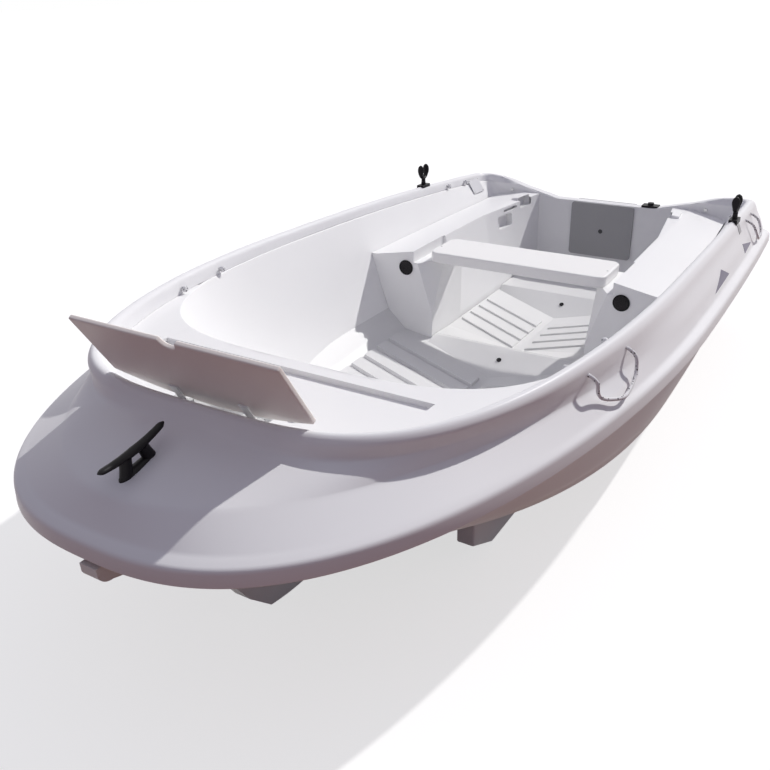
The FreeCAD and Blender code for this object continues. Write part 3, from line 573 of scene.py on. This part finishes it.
# Motor pads: flat grey rubber-like plates with round corners on both faces of the transom.
# One bolt through the transom holds the pair.
grey_pad = gelcoat("grey_pad", (0.37, 0.37, 0.375), 0.62, spec=0.3, wear=0.06, grain=0.5)
eased("motor_pad_inner", grey_pad, 0.0015)
eased("motor_pad_outer", grey_pad, 0.0015)

# Horn cleat: a black plastic bar with two horns on two feet, moulded in one with its rounded base.
# It is fixed to the foredeck, whose slope it follows.
black_plastic = gelcoat("black_plastic", (0.01, 0.009, 0.011), 0.4, spec=0.15, wear=0.3, grain=0.12,
                        scale=30)
across = Vector((0, 1, 0))
bar_around = 20
cleat_place = Vector((1.346, 0, 0.573))
cleat_slope = 9
bar_steps = 40
bar_half = 0.0865
bar_height = 0.0365
horn_lift = 0.0095
bar_thick = 0.0085
bar_wide = 0.0105
bar_taper = 0.003
horn_bluntness = 9
foot_x = 0.022
foot_spread = 0.012
foot_low = -0.012
foot_rise = 0.046
foot_thick = 0.0125
foot_wide = 0.011
foot_flare = 0.004
foot_flare_across = 0.002
foot_steps = 5
base_half = 0.05
base_height = -0.004
base_thick = 0.0125
base_wide = 0.0135
base_steps = 24


def swelled(path, sizes):
    """A closed bar of oval section along a path; each size is (half thickness, half width across)."""
    corners = []
    for k, (here, (thick, wide)) in enumerate(zip(path, sizes)):
        ahead = (path[min(k + 1, len(path) - 1)] - path[max(k - 1, 0)]).normalized()
        out = across.cross(ahead).normalized()
        for n in range(bar_around):
            turn = 2 * math.pi * n / bar_around
            corners.append(here + out * thick * math.cos(turn) + across * wide * math.sin(turn))
    faces = [list(range(bar_around))[::-1], list(range(len(corners) - bar_around, len(corners)))]
    for k in range(len(path) - 1):
        low = k * bar_around
        high = low + bar_around
        for n in range(bar_around):
            beside = (n + 1) % bar_around
            faces.append((low + n, low + beside, high + beside, high + n))
    return corners, faces


def joined(name, parts, finish):
    """One smooth mesh of several closed parts."""
    corners = []
    faces = []
    for part_corners, part_faces in parts:
        faces += [[v + len(corners) for v in face] for face in part_faces]
        corners += part_corners
    return skin(name, corners, faces, finish, 50)


def end_swell(share, power):
    """How full a bar is at a share of its half length: full in the middle, small at its round ends."""
    return max(0.2, max(0.0, 1 - abs(share) ** power) ** 0.5)


bar = []
bar_sizes = []
for k in range(bar_steps + 1):
    share = 2 * k / bar_steps - 1
    bar.append(Vector((bar_half * share, 0, bar_height + horn_lift * share * share)))
    tip = max(0.25, max(0.0, min(1.0, (1 - abs(share)) * horn_bluntness)) ** 0.5)
    taper = bar_taper * abs(share)
    bar_sizes.append(((bar_thick - taper) * tip, (bar_wide - taper) * tip))
cleat_parts = [swelled(bar, bar_sizes)]
for sign in (1, -1):
    foot = []
    foot_sizes = []
    for k in range(foot_steps + 1):
        t = k / foot_steps
        foot.append(Vector((sign * (foot_x + foot_spread * (1 - t)), 0, foot_low + foot_rise * t)))
        foot_sizes.append((foot_thick + foot_flare * (1 - t) ** 2,
                           foot_wide + foot_flare_across * (1 - t) ** 2))
    cleat_parts.append(swelled(foot, foot_sizes))
base = []
base_sizes = []
for k in range(base_steps + 1):
    share = 2 * k / base_steps - 1
    base.append(Vector((base_half * share, 0, base_height)))
    base_sizes.append((base_thick * end_swell(share, 6), base_wide * end_swell(share, 4)))
cleat_parts.append(swelled(base, base_sizes))
cleat_turn = Matrix.Translation(cleat_place) @ Matrix.Rotation(math.radians(cleat_slope), 4, "Y")
cleat_parts = [([cleat_turn @ c for c in corners], faces) for corners, faces in cleat_parts]
cleat = joined("cleat", cleat_parts, black_plastic)
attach(cleat, "boat")
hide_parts("bow_cleat")

# Rowlocks: leaf-like black plastic yokes, each on a pin that turns in a socket let into the crest.
# A yoke is an open bend below and two straight horns that swell into leaves.
rowlock_place = Vector((-0.93, 0.63774, 0.57443))
horn_steps = 40
bend_share = 0.45
leaf_share = 0.3
tip_share = 0.85
horn_x = 0.0228
horn_lean = 0.0008
horn_foot = 0.057
horn_tall = 0.031
bend_deep = 0.0235
horn_thick = 0.0066
horn_wide = 0.0095
leaf_swell = 0.005
leaf_taper = 0.001
horns = []
horn_sizes = []
for k in range(horn_steps + 1):
    share = 2 * k / horn_steps - 1
    if abs(share) > bend_share:
        up_by = (abs(share) - bend_share) / (1 - bend_share)
        out = math.copysign(horn_x - horn_lean * up_by, share)
        horns.append(Vector((out, 0, horn_foot + horn_tall * up_by)))
    else:
        turn = share / bend_share * math.pi / 2
        horns.append(Vector((horn_x * math.sin(turn), 0, horn_foot - bend_deep * math.cos(turn))))
    tip = end_swell(max(0.0, (abs(share) - tip_share) / (1 - tip_share)), 2)
    up_by = max(0.0, (abs(share) - leaf_share) / (1 - leaf_share))
    leaf = leaf_swell * math.sin(math.pi * min(1, up_by * 1.05)) - leaf_taper * up_by
    horn_sizes.append((horn_thick * tip, (horn_wide + leaf) * tip))
# The neck's heights, and its half thickness and half width at each: pin, collar, waist and fork
neck = [Vector((0, 0, z)) for z in (-0.046, 0.01, 0.0101, 0.014, 0.02, 0.028, 0.036)]
neck_sizes = [(0.006, 0.006), (0.006, 0.006), (0.009, 0.009), (0.0095, 0.0095), (0.0085, 0.0085),
              (0.009, 0.0085), (0.008, 0.008)]
yoke_parts = [swelled(horns, horn_sizes), swelled(neck, neck_sizes)]
for side, word in ((1, "port"), (-1, "starboard")):
    at = Vector((rowlock_place.x, side * rowlock_place.y, rowlock_place.z))
    parts = [([at + c for c in corners], faces) for corners, faces in yoke_parts]
    yoke = joined("yoke_" + word, parts, black_plastic)
    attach(yoke, "yoke_" + word)
    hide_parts("rowlock_" + word)
    eased("rowlock_socket_" + word, black_plastic, 0.002)

# Stern socket, bench plugs, drain plugs and lid buffers: small black plastic fittings.
# Each is pushed into its moulding or sits on it, with a softly rounded rim.
eased("stern_socket", black_plastic, 0.002)
for name in ("bench_plugs", "drain_plugs", "lid_buffers"):
    eased(name, black_plastic, 0.001, 2)

# Grab ropes: white cord with black flecks, two a side. Each leaves the coaming by one hole,
# hangs over the cove and comes back by the next, and is knotted inside.
rope_radius = 0.0045
rope_routes = {
    "forward": [(0.413, 0.6059, 0.599), (0.413, 0.675, 0.599), (0.421, 0.685, 0.535), (0.487, 0.688, 0.519),
                (0.532, 0.688, 0.519), (0.598, 0.646, 0.536), (0.606, 0.65, 0.6), (0.606, 0.5802, 0.6)],
    "aft": [(-1.247, 0.5978, 0.529), (-1.247, 0.666, 0.529), (-1.239, 0.695, 0.465), (-1.193, 0.699, 0.454),
            (-1.149, 0.699, 0.454), (-1.103, 0.703, 0.476), (-1.095, 0.673, 0.54), (-1.095, 0.6045, 0.54)]}
fleck_black = (0.03, 0.03, 0.035, 1)
fleck_scale = 130
fleck_reach = 0.27
rope_white = gelcoat("rope_white", (0.74, 0.74, 0.75), 0.85, spec=0.2, wear=0.08, grain=0.6, scale=60)
tree = rope_white.node_tree
shader = tree.nodes["Principled BSDF"]
fleck_place = tree.nodes.new("ShaderNodeTexCoord")
flecks = tree.nodes.new("ShaderNodeTexVoronoi")
flecks.inputs["Scale"].default_value = fleck_scale
flecks.inputs["Randomness"].default_value = 0.7
tree.links.new(fleck_place.outputs["Object"], flecks.inputs["Vector"])
near = tree.nodes.new("ShaderNodeMath")
near.operation = "LESS_THAN"
near.inputs[1].default_value = fleck_reach
tree.links.new(flecks.outputs["Distance"], near.inputs[0])
dark = tree.nodes.new("ShaderNodeMix")
dark.data_type = "RGBA"
dark.inputs[7].default_value = fleck_black
tree.links.new(near.outputs[0], dark.inputs[0])
tree.links.new(shader.inputs["Base Color"].links[0].from_socket, dark.inputs[6])
tree.links.new(dark.outputs[2], shader.inputs["Base Color"])
for place, route in rope_routes.items():
    for side, word in ((1, "port"), (-1, "starboard")):
        curve = bpy.data.curves.new("rope_%s_%s" % (place, word), "CURVE")
        curve.dimensions = "3D"
        spline = curve.splines.new("NURBS")
        spline.points.add(len(route) - 1)
        for point, (x, y, z) in zip(spline.points, route):
            point.co = (x, side * y, z, 1)
        spline.order_u = 3
        spline.use_endpoint_u = True
        spline.resolution_u = 10
        curve.bevel_depth = rope_radius
        curve.bevel_resolution = 5
        curve.use_fill_caps = True
        curve.materials.append(rope_white)
        rope = placed("rope_%s_%s" % (place, word), curve)
        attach(rope, "boat")
        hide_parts("grab_rope_%s_%s" % (place, word))
eased("rope_knots", rope_white, 0.002)

# Label plate: a thin bare plate on the inner side of the starboard quarter.
# It lies flat on the deck moulding, held by a small screw at each corner.
plate_thick = 0.002
plate_corners = [Vector((-1.272, -0.5925, 0.529)), Vector((-1.362, -0.5875, 0.527)),
                 Vector((-1.362, -0.552, 0.47)), Vector((-1.272, -0.557, 0.472))]
facing = (plate_corners[1] - plate_corners[0]).cross(plate_corners[3] - plate_corners[0]).normalized()
facing = facing if facing.y > 0 else -facing
plate_mesh = bpy.data.meshes.new("label_plate")
plate_mesh.from_pydata(plate_corners + [p + facing * plate_thick for p in plate_corners], [],
                       [(0, 1, 2, 3), (7, 6, 5, 4), (0, 4, 5, 1), (1, 5, 6, 2), (2, 6, 7, 3), (3, 7, 4, 0)])
plate = placed("label_plate", plate_mesh)
turn_out(plate_mesh)
plate_mesh.materials.append(gelcoat("plate_film", (0.7, 0.7, 0.72), 0.3, wear=0.04, scale=20))
ease_edges(plate, 0.0006, 2)
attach(plate, "boat")

# Screws: low steel heads, four on the label plate and one near each end of the thwart.
# Geometry nodes set one head on each point, facing as the point says.
plate_inset = 0.16
plate_screw_rise = 0.0022
thwart_screw_place = Vector((-0.5, 0.322, 0.4622))
head_tall = 0.0014


def end_tree(tree, instances, finish):
    """End a geometry tree: the instances become real faces in one material."""
    real = tree.nodes.new("GeometryNodeRealizeInstances")
    coat = tree.nodes.new("GeometryNodeSetMaterial")
    coat.inputs["Material"].default_value = finish
    end = tree.nodes.new("NodeGroupOutput")
    tree.links.new(instances, real.inputs["Geometry"])
    tree.links.new(real.outputs["Geometry"], coat.inputs["Geometry"])
    tree.links.new(coat.outputs["Geometry"], end.inputs["Geometry"])


def screw_tree(finish):
    """Geometry nodes: a low cone of a head on every point, facing as the point says."""
    tree, sockets = new_tree("screws", {"Head Radius": 0.004, "Head Height": 0.0016})
    start = tree.nodes.new("NodeGroupInput")
    head = tree.nodes.new("GeometryNodeMeshCone")
    head.inputs["Vertices"].default_value = 20
    narrow = tree.nodes.new("ShaderNodeMath")
    narrow.operation = "MULTIPLY"
    narrow.inputs[1].default_value = 0.72
    tree.links.new(start.outputs["Head Radius"], narrow.inputs[0])
    tree.links.new(narrow.outputs[0], head.inputs["Radius Top"])
    tree.links.new(start.outputs["Head Radius"], head.inputs["Radius Bottom"])
    tree.links.new(start.outputs["Head Height"], head.inputs["Depth"])
    facing = tree.nodes.new("GeometryNodeInputNamedAttribute")
    facing.data_type = "FLOAT_VECTOR"
    facing.inputs["Name"].default_value = "facing"
    turn = tree.nodes.new("FunctionNodeAlignRotationToVector")
    turn.axis = "Z"
    tree.links.new(facing.outputs["Attribute"], turn.inputs["Vector"])
    heads = tree.nodes.new("GeometryNodeInstanceOnPoints")
    tree.links.new(start.outputs["Geometry"], heads.inputs["Points"])
    tree.links.new(head.outputs["Mesh"], heads.inputs["Instance"])
    tree.links.new(turn.outputs["Rotation"], heads.inputs["Rotation"])
    end_tree(tree, heads.outputs["Instances"], finish)
    return tree, sockets


def screws(name, places, radius):
    """Steel screw heads at (place, facing) pairs."""
    mesh = bpy.data.meshes.new(name + "_points")
    mesh.from_pydata([p for p, n in places], [], [])
    layer = mesh.attributes.new("facing", "FLOAT_VECTOR", "POINT")
    for k, (p, n) in enumerate(places):
        layer.data[k].vector = n
    made = placed(name, mesh)
    tree, sockets = screw_tree(steel)
    step = made.modifiers.new("screws", "NODES")
    step.node_group = tree
    step[sockets["Head Radius"]] = radius
    step[sockets["Head Height"]] = head_tall
    keep_result(made)
    made.data.name = name
    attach(made, "boat")


middle = sum(plate_corners, Vector()) / 4
screws("plate_screws", [(p + (middle - p) * plate_inset + facing * plate_screw_rise, facing)
                        for p in plate_corners], 0.0032)
x, y, z = thwart_screw_place
screws("thwart_screws", [(Vector((x, side * y, z)), Vector((0, 0, 1))) for side in (1, -1)], 0.004)

# Painted flashes on the quarters: two dark purple triangles a side, laid on the coaming's face,
# and a pale grey rubbing patch stuck on under each rowlock.
flash_thick = 0.0005
patch_thick = 0.0014
skin_sunk = 0.0008
outside_y = 0.9
grid_steps = 14
deck_tree = BVHTree.FromPolygons([v.co for v in deck.data.vertices],
                                 [p.vertices for p in deck.data.polygons])


def laid_on(name, corners, thick, finish):
    """A thin skin over the triangle or quad (x, z) corners, laid on the coaming on both sides."""
    parts = []
    for side in (1, -1):
        grid = {}
        outer = []
        inner = []
        for i in range(grid_steps + 1):
            for j in range(grid_steps + 1):
                a = i / grid_steps
                b = j / grid_steps
                if len(corners) == 3:
                    if i + j > grid_steps:
                        continue
                    shares = (1 - a - b, a, b)
                else:
                    shares = ((1 - a) * (1 - b), a * (1 - b), a * b, (1 - a) * b)
                x, z = (sum(corner[n] * share for corner, share in zip(corners, shares)) for n in (0, 1))
                hit = deck_tree.ray_cast(Vector((x, side * outside_y, z)), Vector((0, -side, 0)))
                where, normal = hit[:2]
                normal = normal if normal.y * side > 0 else -normal
                grid[(i, j)] = len(outer)
                outer.append(where + normal * thick)
                inner.append(where - normal * skin_sunk)
        top = []
        for (i, j), k in grid.items():
            if (i + 1, j) in grid and (i, j + 1) in grid:
                top.append((k, grid[(i + 1, j)], grid[(i, j + 1)]))
            if (i + 1, j) in grid and (i, j + 1) in grid and (i + 1, j + 1) in grid:
                top.append((grid[(i + 1, j)], grid[(i + 1, j + 1)], grid[(i, j + 1)]))
        shift = len(outer)
        faces = top + [tuple(v + shift for v in reversed(face)) for face in top]
        edges = [(a, b) for face in top for a, b in zip(face, face[1:] + face[:1])]
        known = set(edges)
        faces += [(b, a, a + shift, b + shift) for a, b in edges if (b, a) not in known]
        parts.append((outer + inner, faces))
    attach(joined(name, parts, finish), "boat")


flash_purple = gelcoat("flash_purple", (0.075, 0.055, 0.12), 0.35, wear=0.1, scale=12)
laid_on("flash_ahead", [(-0.474, 0.531), (-0.56, 0.494), (-0.326, 0.499)], flash_thick, flash_purple)
laid_on("flash_aft", [(-0.885, 0.503), (-1.06, 0.466), (-0.886, 0.47)], flash_thick, flash_purple)
patch_grey = gelcoat("patch_grey", (0.42, 0.42, 0.43), 0.6, wear=0.05, grain=0.3, scale=20)
patch_corners = [(-0.952, 0.562), (-0.908, 0.562), (-0.908, 0.53), (-0.952, 0.53)]
laid_on("rowlock_patches", patch_corners, patch_thick, patch_grey)

# Bench plug faces: fine black mesh inside the plain rim of each round plug in the bench fronts.
# A close grid of small studs stands for the mesh, set by geometry nodes on one point a plug.
plug_place = Vector((-0.3812, 0.412, 0.399))
mesh_size = 0.052
mesh_across = 15
mesh_radius = 0.0245
stud_radius = 0.0014


def mesh_tree(finish):
    """Geometry nodes: a grid of studs inside a circle on every point, facing forward."""
    tree, sockets = new_tree("plug_mesh", {"Mesh Radius": mesh_radius})
    start = tree.nodes.new("NodeGroupInput")
    grid = tree.nodes.new("GeometryNodeMeshGrid")
    for axis in ("X", "Y"):
        grid.inputs["Size " + axis].default_value = mesh_size
        grid.inputs["Vertices " + axis].default_value = mesh_across
    place = tree.nodes.new("GeometryNodeInputPosition")
    far = tree.nodes.new("ShaderNodeVectorMath")
    far.operation = "LENGTH"
    over = tree.nodes.new("FunctionNodeCompare")
    over.operation = "GREATER_THAN"
    drop = tree.nodes.new("GeometryNodeDeleteGeometry")
    tree.links.new(place.outputs["Position"], far.inputs[0])
    tree.links.new(far.outputs["Value"], over.inputs[0])
    tree.links.new(start.outputs["Mesh Radius"], over.inputs[1])
    tree.links.new(grid.outputs["Mesh"], drop.inputs["Geometry"])
    tree.links.new(over.outputs["Result"], drop.inputs["Selection"])
    knob = tree.nodes.new("GeometryNodeMeshIcoSphere")
    knob.inputs["Radius"].default_value = stud_radius
    knob.inputs["Subdivisions"].default_value = 1
    studs = tree.nodes.new("GeometryNodeInstanceOnPoints")
    tree.links.new(drop.outputs["Geometry"], studs.inputs["Points"])
    tree.links.new(knob.outputs["Mesh"], studs.inputs["Instance"])
    face = tree.nodes.new("GeometryNodeInstanceOnPoints")
    face.inputs["Rotation"].default_value = (0, math.pi / 2, 0)
    tree.links.new(start.outputs["Geometry"], face.inputs["Points"])
    tree.links.new(studs.outputs["Instances"], face.inputs["Instance"])
    end_tree(tree, face.outputs["Instances"], finish)
    return tree, sockets


x, y, z = plug_place
plug_points = bpy.data.meshes.new("plug_points")
plug_points.from_pydata([(x, side * y, z) for side in (1, -1)], [], [])
plug_mesh = placed("plug_mesh", plug_points)
black_mesh = gelcoat("black_mesh", (0.03, 0.024, 0.026), 0.7, wear=0.3, scale=300)
tree, sockets = mesh_tree(black_mesh)
step = plug_mesh.modifiers.new("mesh", "NODES")
step.node_group = tree
step[sockets["Mesh Radius"]] = mesh_radius
keep_result(plug_mesh)
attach(plug_mesh, "boat")

# Camera: ahead of the port bow, looking aft and down, for a square picture.
# Its turns are in radians, and its focal length is in pixels of the photograph.
camera_place = Vector((2.26876, 1.13086, 1.40519))
camera_yaw = -0.55664
camera_pitch = 0.4545
camera_roll = -0.02622
focal_pixels = 845.25
picture_pixels = 770
sensor_width = 36
forward = Vector((-math.cos(camera_yaw) * math.cos(camera_pitch),
                  math.sin(camera_yaw) * math.cos(camera_pitch), -math.sin(camera_pitch)))
right = forward.cross(Vector((0, 0, 1))).normalized()
up = right.cross(forward)
rolled_right = right * math.cos(camera_roll) + up * math.sin(camera_roll)
rolled_up = up * math.cos(camera_roll) - right * math.sin(camera_roll)
lens = bpy.data.cameras.new("photo_camera")
lens.sensor_width = sensor_width
lens.lens = sensor_width * focal_pixels / picture_pixels
lens.clip_start = 0.05
camera = placed("photo_camera", lens)
camera.matrix_world = Matrix((
    (rolled_right.x, rolled_up.x, -forward.x, camera_place.x),
    (rolled_right.y, rolled_up.y, -forward.y, camera_place.y),
    (rolled_right.z, rolled_up.z, -forward.z, camera_place.z),
    (0, 0, 0, 1)))
scene.camera = camera


# Floor: a wide white studio floor, which is not part of the boat. It is white where it is seen,
# and warm brown where it lights the hull from below.
def seen_or_not(tree, unseen, shown):
    """Two shaders in one: shown for rays that show a surface, straight, in a mirror or through glass,
    and unseen for rays that only carry light."""
    rays = tree.nodes.new("ShaderNodeLightPath")
    either = tree.nodes.new("ShaderNodeMath")
    either.operation = "MAXIMUM"
    tree.links.new(rays.outputs["Is Camera Ray"], either.inputs[0])
    tree.links.new(rays.outputs["Is Glossy Ray"], either.inputs[1])
    any_of = tree.nodes.new("ShaderNodeMath")
    any_of.operation = "MAXIMUM"
    tree.links.new(either.outputs[0], any_of.inputs[0])
    tree.links.new(rays.outputs["Is Transmission Ray"], any_of.inputs[1])
    pick = tree.nodes.new("ShaderNodeMixShader")
    tree.links.new(any_of.outputs[0], pick.inputs[0])
    tree.links.new(unseen.outputs[0], pick.inputs[1])
    tree.links.new(shown.outputs[0], pick.inputs[2])
    return pick.outputs[0]


floor_reach = 40
floor_mesh = bpy.data.meshes.new("studio_floor")
floor_mesh.from_pydata([(-floor_reach, -floor_reach, 0), (floor_reach, -floor_reach, 0),
                        (floor_reach, floor_reach, 0), (-floor_reach, floor_reach, 0)], [], [(0, 1, 2, 3)])
floor = placed("studio_floor", floor_mesh)
ground = bpy.data.materials.new("studio_floor")
ground.use_nodes = True
tree = ground.node_tree
tree.nodes.remove(tree.nodes["Principled BSDF"])
grey = tree.nodes.new("ShaderNodeBsdfDiffuse")
grey.inputs["Color"].default_value = (0.42, 0.42, 0.42, 1)
glow = tree.nodes.new("ShaderNodeEmission")
glow.inputs["Strength"].default_value = 0.66
white = tree.nodes.new("ShaderNodeAddShader")
tree.links.new(grey.outputs[0], white.inputs[0])
tree.links.new(glow.outputs[0], white.inputs[1])
brown = tree.nodes.new("ShaderNodeBsdfDiffuse")
brown.inputs["Color"].default_value = (0.22, 0.1, 0.068, 1)
tree.links.new(seen_or_not(tree, brown, white), tree.nodes["Material Output"].inputs["Surface"])
floor.data.materials.append(ground)

# Light: a warm sun from the port quarter, a broad pale light overhead and a sky.
# The sky is plain white where it is seen, and dim and bluish where it lights.
sun_from = Vector((-0.675, 0.286, 0.68))
sun = bpy.data.lights.new("sun", "SUN")
sun.energy = 2.85
sun.angle = math.radians(1.2)
sun.color = (1.0, 0.985, 0.96)
placed("sun", sun).rotation_euler = sun_from.to_track_quat("Z", "Y").to_euler()
overhead = bpy.data.lights.new("overhead", "SUN")
overhead.energy = 0.45
overhead.angle = math.radians(100)
overhead.color = (0.97, 0.98, 1.0)
placed("overhead", overhead)
world = bpy.data.worlds.new("sky")
scene.world = world
world.use_nodes = True
tree = world.node_tree
sky = tree.nodes["Background"]
sky.inputs["Color"].default_value = (0.75, 0.71, 1.0, 1)
sky.inputs["Strength"].default_value = 0.22
plain = tree.nodes.new("ShaderNodeBackground")
plain.inputs["Color"].default_value = (1, 1, 1, 1)
plain.inputs["Strength"].default_value = 1.0
tree.links.new(seen_or_not(tree, sky, plain), tree.nodes["World Output"].inputs["Surface"])
scene.view_settings.view_transform = "Standard"
